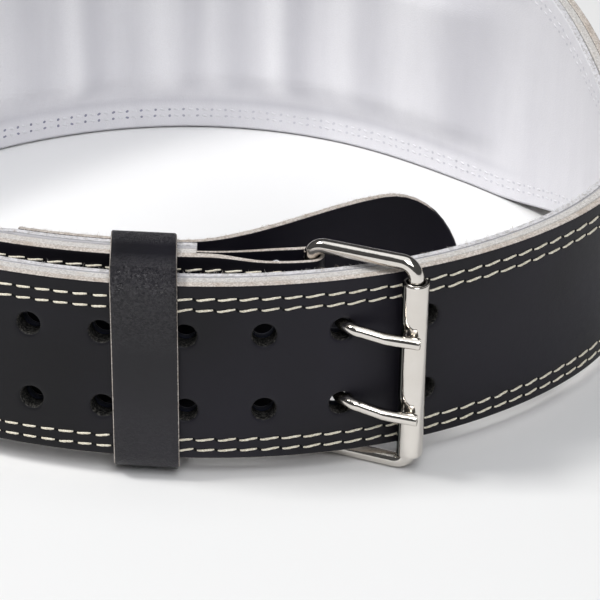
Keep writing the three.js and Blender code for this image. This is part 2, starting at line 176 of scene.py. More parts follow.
def plan(place, depth):
    """Ring point at the place, moved inwards by the strap's inset and the depth"""
    place, depth = np.broadcast_arrays(np.asarray(place, float), np.asarray(depth, float))
    turn = np.interp(np.mod(place, ring_length), arc_table, turn_table)
    return ring_point(turn) + inward_at(turn) * (inset(place) + depth)[..., None]


def middle_height(place):
    """Half the back's height at the back, settling to the buckle's height at the front"""
    from_wide = np.abs(place - spine_place) - wide_length / 2
    front = np.where(place < spine_place, buckle_end_middle, tongue_middle)
    return mix(back_height / 2, front, smooth(from_wide / settle_length))


def width_at(place):
    """The back's height, with an S-shaped taper to the strap's width"""
    from_wide = np.abs(place - spine_place) - wide_length / 2
    return mix(back_height, strap_width, smooth(from_wide / taper_length))


# The bar and the roller seen from above, and how far the frame is shifted from these places
reach_way = np.array([math.cos(frame_swing), -math.sin(frame_swing)])
bar_centre = plan(bar_place, chape_leather + slide_gap + frame_wire / 2)
roller_centre = bar_centre + frame_reach * reach_way
roller_low, roller_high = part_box("roller")
roller_middle = np.array((roller_low + roller_high) / 2)[:2] * 1000
shift = np.append(roller_middle - roller_centre, 0)

# Two pairs of holes are punched off their even place, by so many millimetres towards the tip
hole_slips = np.array([-3.6, 0, 0, 0, 1.5, 0, 0, 0])
even_places = hole_place + hole_pitch * np.arange(-1, 7)
hole_places = even_places + hole_slips
hole_heights = tongue_middle + hole_rows / 2 * np.array([-1, 1])
cells_per_pitch = 16
hole_cell = hole_pitch / cells_per_pitch
hole_half = 4


def strap_columns(start, coarse=3.2):
    """Places for the grid's columns and, past the body, angles round the tongue's nose. Columns
    are a sixteenth of the hole pitch apart where the holes are."""
    low = even_places[0] - (hole_half + 3) * hole_cell
    count = int(np.ceil((low - start) / coarse))
    body = np.linspace(start, low, count + 1)[:-1]
    pitches = len(even_places) - 1
    fine = low + hole_cell * np.arange(pitches * cells_per_pitch + 2 * hole_half + 4)
    last = np.linspace(fine[-1], tip_place - nose, 5)[1:]
    angles = np.radians([10, 20, 30, 40, 50, 58, 66, 73, 79, 84, 87.5])
    places = np.concatenate([body, fine, last, np.full(len(angles), tip_place - nose)])
    turns = np.concatenate([np.zeros(len(body) + len(fine) + len(last)), angles])
    return places, turns


# Radius of the rounding along each cut edge
corner = 0.55


def section_rows():
    """The way round a layer's section, from the outer face's lower edge up: share of the half
    width, inset from the outline, depth from the outer face, share of the thickness"""
    half = nose - corner
    block = hole_rows / 2 + hole_cell * np.arange(-hole_half, hole_half + 1)
    inner = np.linspace(0, block[0], 5)[1:-1]
    outer = np.linspace(block[-1], half - 0.6, 7)[1:]
    side = np.concatenate([inner, block, outer, [half]])
    shares = np.concatenate([-side[::-1], [0], side]) / half
    face = np.ones_like(shares)
    turn = np.radians([30, 60, 90])
    arc_out = corner * (1 - np.sin(turn))
    arc_in = corner * (1 - np.cos(turn))
    edge_inset = np.concatenate([arc_out, [0.1, 0.1], arc_out[::-1]])
    edge_depth = np.concatenate([arc_in, [0, 0], -arc_in[::-1]])
    edge_share = np.concatenate([[0, 0, 0], [0.36, 0.64], [1, 1, 1]])
    edge = np.ones(len(edge_inset))
    share = np.concatenate([shares, edge, shares[::-1], -edge])
    inset_row = np.concatenate([face * corner, edge_inset, face * corner, edge_inset[::-1]])
    depth = np.concatenate([face * 0, edge_depth, face * 0, edge_depth[::-1]])
    through = np.concatenate([face * 0, edge_share, face, edge_share[::-1]])
    return share, inset_row, depth, through, len(shares), len(edge)


row_share, row_inset, row_depth, row_through, face_rows, edge_rows = section_rows()
top_edge = np.arange(face_rows, face_rows + edge_rows)
bottom_edge = np.arange(2 * face_rows + edge_rows, 2 * face_rows + 2 * edge_rows)
inner_face = np.arange(face_rows + edge_rows, 2 * face_rows + edge_rows)
section_size = len(row_share)


def grid_quads(columns, rows, closed_columns=False, closed_rows=False):
    """Quads between neighbours of a grid of points numbered column by column"""
    i = np.arange(columns if closed_columns else columns - 1)
    j = np.arange(rows if closed_rows else rows - 1)
    i, j = np.meshgrid(i, j, indexing="ij")
    k, m = (i + 1) % columns, (j + 1) % rows
    return np.stack([i * rows + j, k * rows + j, k * rows + m, i * rows + m], -1)


def new_piece(name, points, quads, caps=(), **values):
    """A smooth mesh object from points in millimetres, quads and end caps, turned outwards by the
    sign of its volume, with one attribute on its points for each further value"""
    quads = np.asarray(quads).reshape(-1, 4)
    a, b, c, d = (points[quads[:, k]] for k in range(4))
    volume = np.einsum("ij,ij->i", a, np.cross(b, c)) + np.einsum("ij,ij->i", a, np.cross(c, d))
    flip = volume.sum() < 0
    faces = [quad[::-1] if flip else quad for quad in quads.tolist()]
    faces += [list(cap)[::-1] if flip else list(cap) for cap in caps]
    used = np.zeros(len(points), bool)
    used[[point for face in faces for point in face]] = True
    number = np.cumsum(used) - 1
    faces = [[number[point] for point in face] for face in faces]
    mesh = bpy.data.meshes.new(name)
    mesh.from_pydata(((points[used] + shift) / 1000).tolist(), [], faces)
    for key, value in values.items():
        attribute = mesh.attributes.new(key, "FLOAT", "POINT")
        attribute.data.foreach_set("value", np.asarray(value, np.float32)[used])
    mesh.shade_smooth()
    piece = bpy.data.objects.new(name, mesh)
    bpy.context.scene.collection.objects.link(piece)
    return piece


def block_outline(i, k, j, m):
    """Grid numbers round a block of cells, from columns i to k and rows j to m"""
    up, along = np.arange(j, m), np.arange(i, k)
    right = np.stack([up * 0 + k, up], -1)
    top = np.stack([k + i - along, along * 0 + m], -1)
    left = np.stack([up * 0 + i, m + j - up], -1)
    bottom = np.stack([along, along * 0 + j], -1)
    return np.concatenate([right, top, left, bottom])


def strap_layer(name, columns, course, rim, relief=None, slot=None, foot=0):
    """A closed skin round one layer of the strap. Every grid point has a place, a height and a
    depth, which course turns to points; punched holes replace square blocks of cells on both
    faces by rings that run down the hole's wall, and a slot for each prong leaves out the cells
    between two places. A foot lifts the lower edge and paints shade on both edges: a contact
    shadow along the lower edge, and the shade of the seam gap beside the filler along the upper.
    Values: raw is 1 on cut edges; the second value is painted shade, 1 on the hole's wall and
    less on the lining's edges; the third is painted light and shade on a padded face's folds."""
    places, turns = columns
    place = places[:, None] + (nose - row_inset) * np.sin(turns)[:, None]
    half = (course.width(places)[:, None] / 2 - row_inset) * np.cos(turns)[:, None]
    height = course.middle(places)[:, None] + row_share * half
    thickness = course.thickness(places)[:, None]
    depth = row_depth + row_through * thickness
    fold_light_and_shade = np.zeros_like(depth)
    if relief is not None:
        low = course.middle(places)[:, None] - course.width(places)[:, None] / 2
        rise, nap_and_fold_light = relief(place[:, inner_face], (height - low)[:, inner_face])
        depth[:, inner_face] += rise
        fold_light_and_shade[:, inner_face] = nap_and_fold_light
    raw = np.zeros_like(depth)
    ink = np.zeros_like(depth)
    if foot:
        height[:, bottom_edge] += foot
        # Painted shade: a contact shadow along the lower edge, and the shade of the seam gap beside the
        # filler along the upper edge
        ink[:, bottom_edge[:-3]] = 0.6
        ink[:, top_edge[:2]] = 0.4
    cut_edge = np.concatenate([top_edge[1:-1], bottom_edge[1:-1]])
    raw[:, cut_edge] = 1
    raw[:, [top_edge[0], bottom_edge[-1]]] = 0.35
    raw[:, [top_edge[-1], bottom_edge[0]]] = 0.6
    columns_count, rows = depth.shape
    points = [course.points(place, height, depth).reshape(-1, 3)]
    values = {"raw": [raw.ravel()], "ink": [ink.ravel()], "fold_light_and_shade": [fold_light_and_shade.ravel()]}
    quads = grid_quads(columns_count, rows, closed_rows=True)
    keep = np.ones(quads.shape[:2], bool)
    patches = []
    total = columns_count * rows
    blocks = []
    for level in hole_heights:
        for centre in hole_places:
            i = int(np.argmin(np.abs(places - centre)))
            j = int(np.argmin(np.abs(height[i, :face_rows] - level)))
            reach = (i - hole_half, i + hole_half, j - hole_half, j + hole_half)
            blocks.append((*reach, centre, level))
        if slot is not None:
            i, k = (int(np.argmin(np.abs(places - place))) for place in slot)
            levels = height[k, :face_rows] - level
            j = int(np.flatnonzero(levels < -slot_half)[-1])
            m = int(np.flatnonzero(levels > slot_half)[0])
            blocks.append((i, k, j, m, None, None))
    mirrored = 2 * face_rows + edge_rows - 1
    for i, k, j, m, centre, level in blocks:
        keep[i:k, j:m] = False
        keep[i:k, mirrored - m : mirrored - j] = False
        around = block_outline(i, k, j, m)
        count = len(around)
        first = around[:, 0] * rows + around[:, 1]
        last = around[:, 0] * rows + mirrored - around[:, 1]
        rings = [first[None], last[None]]
        if centre is not None:
            offset = (around - [i + hole_half, j + hole_half]) * hole_cell
            turn = np.arctan2(offset[:, 1], offset[:, 0])
            circle = np.stack([np.cos(turn), np.sin(turn)], -1)
            square, reach, down, share, wall = rim
            off = square[:, None, None] * offset + ((1 - square) * reach)[:, None, None] * circle
            sink = (down + share * thickness[i, 0])[:, None] + 0 * off[..., 0]
            ring_points = course.points(centre + off[..., 0], level + off[..., 1], sink)
            points.append(ring_points.reshape(-1, 3))
            values["raw"].append(np.repeat(wall, count))
            values["ink"].append(np.repeat(wall, count))
            values["fold_light_and_shade"].append(np.repeat(share * 0, count))
            numbers = total + np.arange(len(square) * count).reshape(-1, count)
            rings = [first[None], numbers, last[None]]
            total += len(square) * count
        numbers = np.concatenate(rings)
        following = np.roll(numbers, -1, axis=1)
        corners = [numbers[:-1], following[:-1], following[1:], numbers[1:]]
        patches.append(np.stack(corners, -1).reshape(-1, 4))
    faces = np.concatenate([quads[keep].reshape(-1, 4)] + patches)
    ends = [np.arange(rows)[::-1], (columns_count - 1) * rows + np.arange(rows)]
    joined = {key: np.concatenate(value) for key, value in values.items()}
    return new_piece(name, np.concatenate(points), faces, ends, **joined)


class Course:
    """Where a layer of the strap runs: its depth under the outer face and its thickness"""

    def __init__(self, base, thickness):
        self.base = base
        self.layer = thickness

    def width(self, place):
        return width_at(place)

    def middle(self, place):
        return middle_height(place)

    def thickness(self, place):
        return np.full(np.shape(place), float(self.layer))

    def points(self, place, height, depth):
        return np.concatenate([plan(place, self.base + depth), height[..., None]], -1)


class LeatherCourse(Course):
    """The outer leather: places below the loop's run round the bar and back behind the filler"""

    mean_radius = loop_depth - chape_leather / 2
    loop_end = loop_place - math.pi * mean_radius

    def returned(self, place):
        """How far a place on the returning leather lies from the loop, along the strap"""
        return np.maximum(self.loop_end - place, 0)

    def on_strap(self, place):
        return np.where(place < self.loop_end, loop_place + self.returned(place), place)

    def skive(self, place):
        past_thin = place - loop_place - skive_start
        return smooth(past_thin / (lining_setback - skive_start - skive_end))

    def width(self, place):
        taper = np.where(place < spine_place, self.skive(place), 1)
        return mix(chape_width, width_at(place), taper)

    def middle(self, place):
        return middle_height(np.maximum(self.on_strap(place), loop_place))

    def thickness(self, place):
        away = self.returned(place) - chape_straight
        flap = smooth(away / (lining_setback - skive_end - chape_straight))
        thin = mix(chape_leather, flap_leather, flap)
        return np.where(place < loop_place, thin, mix(chape_leather, leather, self.skive(place)))

    def points(self, place, height, depth):
        turn = np.clip((loop_place - place) / self.mean_radius, 0, math.pi) - math.pi / 2
        radius = loop_depth - depth
        away = self.returned(place) - chape_straight
        flap = smooth(away / (lining_setback - skive_end - chape_straight))
        face = mix(2 * loop_depth, lining_depth + flap_leather, flap)
        round_bar = (place < loop_place) & (place >= self.loop_end)
        at = np.where(round_bar, loop_place - radius * np.cos(turn), self.on_strap(place))
        deep = np.where(round_bar, loop_depth + radius * np.sin(turn), depth)
        deep = np.where(place < self.loop_end, face - depth, deep)
        return np.concatenate([plan(at, deep), height[..., None]], -1)


# A punched hole's rings: share of the square block, radius, depth from the outer face, share of
# the thickness, and how much of the hole's wall they show
leather_rim = np.array(
    [
        [0.4, 5.3, 0.0, 0, 0],
        [0, 4.9, 0.03, 0, 0],
        [0, 4.55, 0.12, 0, 0],
        [0, 4.25, 0.3, 0, 0.2],
        [0, 4.02, 0.6, 0, 0.8],
        [0, 3.93, 1.0, 0, 1],
        [0, 3.88, 1.5, 0, 1],
        [0, 3.92, 1.9, 0, 1],
        [0, 3.9, -0.25, 1, 1],
        [0, 4.1, -0.02, 1, 0.6],
        [0.4, 5.3, 0.0, 1, 0],
    ]
).T
leather_course = LeatherCourse(0, leather)
leather_start = leather_course.loop_end - (guard_place - loop_place)
flap_places = np.linspace(leather_start, leather_course.loop_end, 34)[:-1]
loop_places = np.linspace(leather_course.loop_end, loop_place, 19)[:-1]
main_places, main_turns = strap_columns(loop_place)
leather_columns = (
    np.concatenate([flap_places, loop_places, main_places]),
    np.concatenate([flap_places * 0, loop_places * 0, main_turns]),
)
slot_half = prong_wire / 2 + 2 * turn_gap
slot_reach = 3.6
slot_places = (leather_course.loop_end - slot_reach, loop_place + slot_reach)
outer_leather = strap_layer(
    "outer_leather_strip", leather_columns, leather_course, leather_rim, slot=slot_places
)


class Socket:
    """One output of a shader node. Arithmetic on it adds Math nodes, node() adds any other."""

    def __init__(self, tree, output):
        self.tree = tree
        self.output = output

    def node(self, kind, settings, inputs, output=0):
        """Adds a node of that kind: its settings first, then each input's value or link"""
        new = self.tree.nodes.new(kind)
        for key, value in settings.items():
            setattr(new, key, value)
        for key, value in inputs.items():
            if isinstance(value, Socket):
                self.tree.links.new(value.output, new.inputs[key])
            else:
                new.inputs[key].default_value = value
        return Socket(self.tree, new.outputs[output]) if len(new.outputs) else None

    def math(self, operation, first, second=0.0):
        return self.node("ShaderNodeMath", {"operation": operation}, {0: first, 1: second})

    def __add__(self, other):
        return self.math("ADD", self, other)

    def __sub__(self, other):
        return self.math("SUBTRACT", self, other)

    def __rsub__(self, other):
        return self.math("SUBTRACT", other, self)

    def __mul__(self, other):
        return self.math("MULTIPLY", self, other)

    __radd__ = __add__
    __rmul__ = __mul__

    def attribute(self, name):
        return self.node("ShaderNodeAttribute", {"attribute_name": name}, {}, "Fac")

    def noise(self, scale, detail=3.0, roughness=0.5, distortion=0.0, vector=None):
        inputs = {"Scale": scale, "Detail": detail, "Roughness": roughness, "Distortion": distortion}
        inputs["Vector"] = self if vector is None else vector
        return self.node("ShaderNodeTexNoise", {}, inputs, "Fac")

    def ramp(self, low, high):
        """Smooth step from 0 to 1 as this value goes from low to high"""
        inputs = {"Value": self, "From Min": low, "From Max": high}
        return self.node("ShaderNodeMapRange", {"interpolation_type": "SMOOTHSTEP"}, inputs)

    def blend(self, first, second):
        """Colour between the first and the second, by this value"""
        return self.node("ShaderNodeMix", {"data_type": "RGBA"}, {0: self, 6: first, 7: second}, 2)

    def stretched(self, scale):
        return self.node("ShaderNodeMapping", {}, {"Vector": self, "Scale": scale})

    def bump(self, distance, strength=1.0, normal=None):
        """A Bump node whose height is this value, in metres of distance"""
        inputs = {"Height": self, "Distance": distance, "Strength": strength}
        if normal is not None:
            inputs["Normal"] = normal
        return self.node("ShaderNodeBump", {}, inputs, "Normal")


def new_finish(name):
    """A new material and its Object coordinates"""
    finish = bpy.data.materials.new(name)
    finish.use_nodes = True
    finish.node_tree.nodes.clear()
    coordinates = finish.node_tree.nodes.new("ShaderNodeTexCoord")
    return finish, Socket(finish.node_tree, coordinates.outputs["Object"])


def surface(finish, point, **inputs):
    """Ends a material in one Principled shader; names of its sockets have _ for each space"""
    named = {key.replace("_", " "): value for key, value in inputs.items()}
    shader = point.node("ShaderNodeBsdfPrincipled", {}, named, "BSDF")
    point.node("ShaderNodeOutputMaterial", {}, {"Surface": shader})
    return finish


def tone(red, green, blue):
    """A colour from its red, green and blue as seen on a screen, 0 to 255"""
    seen = np.array([red, green, blue]) / 255
    linear = np.where(seen <= 0.04045, seen / 12.92, ((seen + 0.055) / 1.055) ** 2.4)
    return (*linear, 1)


def black_leather(name, wrinkled=False):
    """Smooth dyed face with fine grain and faint clouding; raw edges are beige and fibrous. Where
    it is wrinkled, creases follow the attribute bend with a painted highlight on their crests,
    and the face is paler low down, a painted reflection of the white floor"""
    finish, point = new_finish(name)
    raw = point.attribute("raw")
    ink = point.attribute("ink")
    clouds = point.noise(14, 2)
    face = clouds.ramp(0.3, 0.7).blend(tone(13, 12, 17), tone(24, 22, 32))
    grain = point.noise(2600, 2, 0.5, 0.4) + point.noise(700, 2) * 0.6
    rough = 0.4 + point.noise(400, 2) * 0.1 + raw * 0.4
    if wrinkled:
        bend = point.attribute("bend")
        creases = point.noise(1000, 3, 0.6, 0.8)
        grain = grain + creases * bend * 34
        rough = rough - bend * 0.16
        # Painted reflection of the white floor: the face is paler low down
        low = point.node("ShaderNodeSeparateXYZ", {}, {"Vector": point}, "Z").ramp(0.052, 0.008)
        face = (low * (1 - raw) * 0.3).blend(face, tone(46, 44, 49))
        # Painted highlight on the crests of the creases at the bend
        face = (bend * creases.ramp(0.4, 0.62) * 0.75).blend(face, tone(64, 62, 66))
    fibres = point.noise(1500, 4, 0.65)
    stains = point.noise(160, 3, 0.6)
    cut = fibres.ramp(0.3, 0.7).blend(tone(166, 156, 148), tone(224, 217, 210))
    cut = (stains.ramp(0.45, 0.7) * 0.45).blend(cut, tone(176, 160, 146))
    # Painted shade on the walls of the punched holes
    hole_wall_shade = fibres.ramp(0.42, 0.72).blend(tone(12, 12, 12), tone(88, 86, 82))
    cut = ink.ramp(0.1, 0.5).blend(cut, hole_wall_shade)
    colour = (raw + (fibres - 0.5) * 0.5).ramp(0.35, 0.65).blend(face, cut)
    height = grain * (1 - raw) + fibres * raw * 4
    return surface(
        finish,
        point,
        Base_Color=colour,
        Roughness=rough,
        Normal=height.bump(0.00004),
        Specular_IOR_Level=0.4 if wrinkled else 0.26,
    )


outer_leather.data.materials.append(black_leather("black_bridle_leather"))
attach(outer_leather, "root")
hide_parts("outer_leather")


# The filler: a light grey bonded fibre board, glued between the two leathers. Only its cut edge
# shows, as the middle line of the belt's edge, and its end beside the chape. Its holes have
# plain rims, and the lining's are like them.
plain_rim = np.array(
    [
        [0.4, 5.3, 0.0, 0, 0],
        [0, 4.0, 0.02, 0, 1],
        [0, 3.95, 0.5, 0, 1],
        [0, 3.85, 1.2, 0, 1],
        [0, 3.95, -0.5, 1, 1],
        [0, 4.0, -0.02, 1, 1],
        [0.4, 5.3, 0.0, 1, 0],
    ]
).T
board_course = Course(leather + 0.02, filler + seam_gap - 0.02)
filler_board = strap_layer("filler_board", strap_columns(lining_place), board_course, plain_rim)


def fibre_board(name):
    """Pale grey board with short matted fibres, with painted shade on the walls of the punched holes"""
    finish, point = new_finish(name)
    ink = point.attribute("ink")
    fibres = point.noise(1400, 4, 0.7)
    stains = point.noise(120, 3)
    colour = fibres.ramp(0.3, 0.7).blend(tone(184, 180, 177), tone(224, 221, 218))
    colour = (stains.ramp(0.5, 0.75) * 0.5).blend(colour, tone(205, 196, 186))
    # Painted shade on the walls of the punched holes
    hole_wall_shade = fibres.ramp(0.4, 0.75).blend(tone(10, 10, 10), tone(74, 73, 70))
    colour = ink.ramp(0.2, 0.6).blend(colour, hole_wall_shade)
    return surface(
        finish,
        point,
        Base_Color=colour,
        Roughness=0.95,
        Normal=fibres.bump(0.0003),
        Specular_IOR_Level=0.2,
    )


filler_board.data.materials.append(fibre_board("grey_fibre_board"))
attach(filler_board, "root")
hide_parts("filler")


# The lining: pale grey split suede, glued and sewn to the inside. Over the wide back a foam pad
# lies under it, so it swells inside a flat border and falls into soft upright folds.
pad_swell = 7
pad_border = 12
pad_slope = 16
# Place and breadth of a broad band of painted shade near the pad's end
shade_band_at = 0.93
shade_band_breadth = 0.09
pad_folds = np.array(
    [
        [0.68, 0.1, 0.08],
        [0.44, 0.22, 0.06],
        [0.14, 0.2, 0.09],
        [-0.02, 0.16, 0.07],
        [-0.23, 0.26, 0.06],
        [-0.46, 0.14, 0.08],
        [-0.72, 0.1, 0.13],
    ]
)
flap_fade = 9


def pad_rise(place, above):
    """Swell inside the border, which fades before the tapers and carries upright folds, each a
    bell of its own place, rise and breadth"""
    from_spine = np.abs(place - spine_place)
    ends = 1 - smooth((from_spine - 0.4 * wide_length) / (0.14 * wide_length))
    edge = np.minimum(above, width_at(place) - above) - pad_border
    crown = smooth(edge / pad_slope)
    half = wide_length / 2
    folds = 0.7
    for at, rise, breadth in pad_folds:
        off = (spine_place - at * half - place) / (breadth * half)
        folds = folds + rise * np.exp(-off * off)
    return pad_swell * ends * crown * folds


def pad_relief(place, above):
    """The pad's rise, and its painted light and shade: a painted highlight on each fold's crest, and
    painted shade past it, in the crease along the border and in a band near the pad's left end"""
    from_spine = np.abs(place - spine_place)
    ends = 1 - smooth((from_spine - 0.42 * wide_length) / (0.2 * wide_length))
    edge = np.minimum(above, width_at(place) - above) - pad_border
    half = wide_length / 2
    # Painted shade in the crease along the border, then a painted highlight on each fold's crest and
    # painted shade past it
    fold_light_and_shade = -0.16 * np.exp(-(((edge - 1) / 1.8) ** 2))
    for at, rise, breadth in pad_folds:
        off = (spine_place - at * half - place) / (breadth * half)
        fold = np.exp(-((off * 1.5) ** 2)) - 0.8 * np.exp(-(((off + 1.1) * 1.2) ** 2))
        fold_light_and_shade = fold_light_and_shade + rise * fold * smooth((edge - 2) / 9)
    # A broad band of painted shade
    wear_and_shade_bell = np.exp(-(((spine_place + shade_band_at * half - place) / (shade_band_breadth * half)) ** 2))
    return pad_rise(place, above), (fold_light_and_shade - 0.14 * wear_and_shade_bell * smooth((edge - 2) / 9)) * ends


def flap_room(place):
    """How far the lining stands back for the flap of leather that is glued behind the filler"""
    fade = 1 - smooth((place - guard_place) / flap_fade)
    return np.where(place < spine_place, splay * fade, 0)


class LiningCourse(Course):
    """The lining makes room for the flap of leather"""

    def points(self, place, height, depth):
        flat = plan(place, self.base + flap_room(place) + depth)
        return np.concatenate([flat, height[..., None]], -1)


suede_course = LiningCourse(lining_depth, lining)
suede_columns = strap_columns(lining_place, 2.2)
suede_lining = strap_layer(
    "suede_lining", suede_columns, suede_course, plain_rim, pad_relief, foot=0.4
)


def grey_suede(name):
    """Pale napped suede: soft patches where the nap lies another way, and a short fuzz. The padded
    folds carry painted light and shade
    """
    finish, point = new_finish(name)
    ink = point.attribute("ink")
    fold_light_and_shade = point.attribute("fold_light_and_shade")
    raw = point.attribute("raw")
    drifts = point.stretched((1, 1, 0.35)).noise(38, 4, 0.6)
    streaks = point.stretched((1, 1, 0.12)).noise(120, 3, 0.6)
    fuzz = point.noise(1800, 3, 0.6)
    # The drifts and streaks are the suede's own; the padded folds' attribute adds painted light and
    # shade
    nap_and_fold_light = drifts * 0.3 + streaks * 0.16 + fold_light_and_shade * 1.5 + 0.27
    colour = nap_and_fold_light.ramp(0, 1).blend(tone(208, 207, 213), tone(250, 249, 252))
    colour = (fuzz.ramp(0.3, 0.8) * 0.18).blend(colour, tone(212, 210, 215))
    matted = point.noise(700, 4, 0.7).ramp(0.4, 0.7) * 0.75 + 0.2
    colour = (raw.ramp(0.5, 1) * matted).blend(colour, tone(168, 166, 166))
    # Painted shade on the walls of the punched holes and along the lining's edges
    colour = ink.ramp(0.2, 0.6).blend(colour, tone(28, 31, 46))
    height = fuzz + drifts * 2
    return surface(
        finish,
        point,
        Base_Color=colour,
        Roughness=0.92,
        Normal=height.bump(0.00012),
        Specular_IOR_Level=0.25,
        Sheen_Weight=0.15,
        Sheen_Roughness=0.5,
    )


suede_lining.data.materials.append(grey_suede("pale_grey_suede"))
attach(suede_lining, "root")
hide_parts("lining")


# The guard: a single black leather sewn behind the lining beside the keeper. Its free end stands
# in behind the buckle, so that no metal touches the wearer, and ends half round.
guard_leather = 2.4
guard_tuck_leather = 1.6
guard_reach = 92
guard_stand_off = 37
guard_thin_end = 20
guard_nose = 27
guard_swell = 0.057
guard_swing_share = 0.9
guard_inked = np.radians([18, 55])
guard_depth = lining_depth + splay + lining + seam_gap


def guard_sheet():
    """Columns follow the strap while tucked, then a path that swings inwards by a smooth step of
    its reach; rows go round the section, and the nose is a half circle. The second value is 1
    where the cut edge is bare, and falls to 0 round the nose, where the edge is drawn as dark as
    the face."""
    root = plan(keeper_edge, guard_depth)
    along = plan(keeper_edge - 1, 0) - plan(keeper_edge, 0)
    along /= np.linalg.norm(along)
    inward = np.array([-along[1], along[0]])
    tucked = np.linspace(guard_place, keeper_edge, 20)
    free = np.linspace(1.5, guard_reach - guard_nose, 30)
    angles = np.radians([8, 16, 24, 32, 40, 48, 56, 63, 70, 76, 81, 85, 88])
    run = np.concatenate([free, np.full(len(angles), guard_reach - guard_nose)])
    turn = np.concatenate([free * 0, angles])
    x = run[:, None] + (guard_nose - row_inset) * np.sin(turn)[:, None]
    half = (nose - row_inset) * np.cos(turn)[:, None]
    half = half * (1 + guard_swell * smooth(x / (guard_reach - guard_nose)))
    swing_run = guard_swing_share * guard_reach
    swing = guard_stand_off * smooth(x / swing_run)
    slope = smooth((x + 0.5) / swing_run) - smooth((x - 0.5) / swing_run)
    slope = guard_stand_off * slope
    across = inward - slope[..., None] * along
    across /= np.linalg.norm(across, axis=-1, keepdims=True)
    thickness = mix(guard_tuck_leather, guard_leather, smooth(run / guard_thin_end))[:, None]
    depth = row_depth + row_through * thickness
    sheet = root + x[..., None] * along + swing[..., None] * inward + depth[..., None] * across
    tuck_depth = guard_depth + row_depth + row_through * guard_tuck_leather
    tuck = plan(tucked[:, None], tuck_depth)
    flat = np.concatenate([tuck, sheet])
    half = np.concatenate([np.broadcast_to(nose - row_inset, tuck.shape[:2]), half])
    height = buckle_end_middle + row_share * half
    bare = 1 - smooth((turn - guard_inked[0]) / (guard_inked[1] - guard_inked[0]))
    bare = np.concatenate([np.ones(len(tucked)), bare])
    return np.concatenate([flat, height[..., None]], -1), bare


guard_points, guard_bare = guard_sheet()
guard_raw = np.zeros(guard_points.shape[:2])
guard_raw[:, np.concatenate([top_edge[1:-1], bottom_edge[1:-1]])] = 1
guard_raw[:, [top_edge[0], bottom_edge[-1], top_edge[-1], bottom_edge[0]]] = 0.35
guard_raw *= guard_bare[:, None]
guard_columns = len(guard_points)
guard_last = (guard_columns - 1) * section_size
guard_ends = [np.arange(section_size)[::-1], guard_last + np.arange(section_size)]
guard = new_piece(
    "guard_leather",
    guard_points.reshape(-1, 3),
    grid_quads(guard_columns, section_size, closed_rows=True),
    guard_ends,
    raw=guard_raw.ravel(),
    ink=guard_raw.ravel() * 0,
)
guard.data.materials.append(black_leather("black_guard_leather"))
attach(guard, "root")
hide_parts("guard")


# The keeper: a closed band of the same black leather round the tongue and the buckle end. It is
# bent sharply over the strap's edges, where its grain wrinkles.
keeper_leather = 1.9
keeper_sag = 2.8
keeper_front_fillet = 4
keeper_back_fillet = 2.2
keeper_skew = 0.13
keeper_soft = 0.5
keeper_bend_points = 9
keeper_side_steps = 24
keeper_curl = 2.6


def keeper_band():
    """A rounded rectangle across the strap, carried along it; the wall's section has soft edges.
    Also how raw each point is, and how bent: each bend fades out along its long sides."""
    middle = plan(keeper_place, 0)
    face = plan(keeper_place + ring_length, 0)
    inward = (middle - face) / np.linalg.norm(middle - face)
    along = np.array([-inward[1], inward[0]])
    front = -slide_gap
    back = float(inset(keeper_place)) + guard_depth + guard_tuck_leather + 3 * slide_gap
    low = tongue_middle - nose - keeper_sag
    high = buckle_end_middle + nose + slide_gap
    corners = [
        (front, low, keeper_front_fillet, 1.0, 1, 1),
        (back, low, keeper_back_fillet, 1.5, -1, 1),
        (back, high, keeper_back_fillet, 0.0, -1, -1),
        (front, high, keeper_front_fillet, 0.5, 1, -1),
    ]
    wall_in, wall_out, bend = [], [], []
    for across, up, radius, start, side, rise in corners:
        turn = (start + 0.5 * np.linspace(0, 1, keeper_bend_points)) * np.pi
        centre = np.array([across + side * radius, up + rise * radius])
        way = np.stack([np.cos(turn), np.sin(turn)], -1)
        wall_in.append(centre + radius * way)
        wall_out.append(way)
        bend.append(np.full(keeper_bend_points, 1.0 if up == high else 0.3))
    wall_in = np.concatenate(wall_in)
    way = np.concatenate(wall_out)
    bend = np.concatenate(bend)
    following = np.roll(np.arange(len(wall_in)), -1)
    t = np.arange(keeper_side_steps)[:, None] / keeper_side_steps
    path, out, curl = [], [], []
    for k, m in enumerate(following):
        bend_end = k % keeper_bend_points == keeper_bend_points - 1
        steps = t if bend_end else t[:1]
        path.append(mix(wall_in[k], wall_in[m], steps))
        out.append(mix(way[k], way[m], steps))
        before = np.maximum(1 - steps[:, 0] * keeper_curl, 0) * bend[k]
        after = np.maximum(1 - (1 - steps[:, 0]) * keeper_curl, 0) * bend[m]
        curl.append(before + after)
    path, out, curl = np.concatenate(path), np.concatenate(out), np.concatenate(curl)
    half = keeper_width / 2
    face_along = np.linspace(-half + keeper_soft, half - keeper_soft, 9)
    flat_row = np.ones(len(face_along))
    edge_out = [keeper_leather - keeper_soft, keeper_soft]
    rows_along = np.concatenate([face_along, [half, half], face_along[::-1], [-half, -half]])
    rows_out = np.concatenate([flat_row * keeper_leather, edge_out, flat_row * 0, edge_out[::-1]])
    row_raw = np.concatenate([flat_row * 0, [1, 1], flat_row * 0.2, [1, 1]])
    section = path[:, None] + out[:, None] * rows_out[None, :, None]
    flat = face + section[..., :1] * (inward + keeper_skew * along)
    flat = flat + rows_along[None, :, None] * along
    points = np.concatenate([flat, section[..., 1:]], -1)
    raw = np.broadcast_to(row_raw, points.shape[:2])
    curl = np.broadcast_to(curl[:, None], points.shape[:2])
    return points, raw, curl


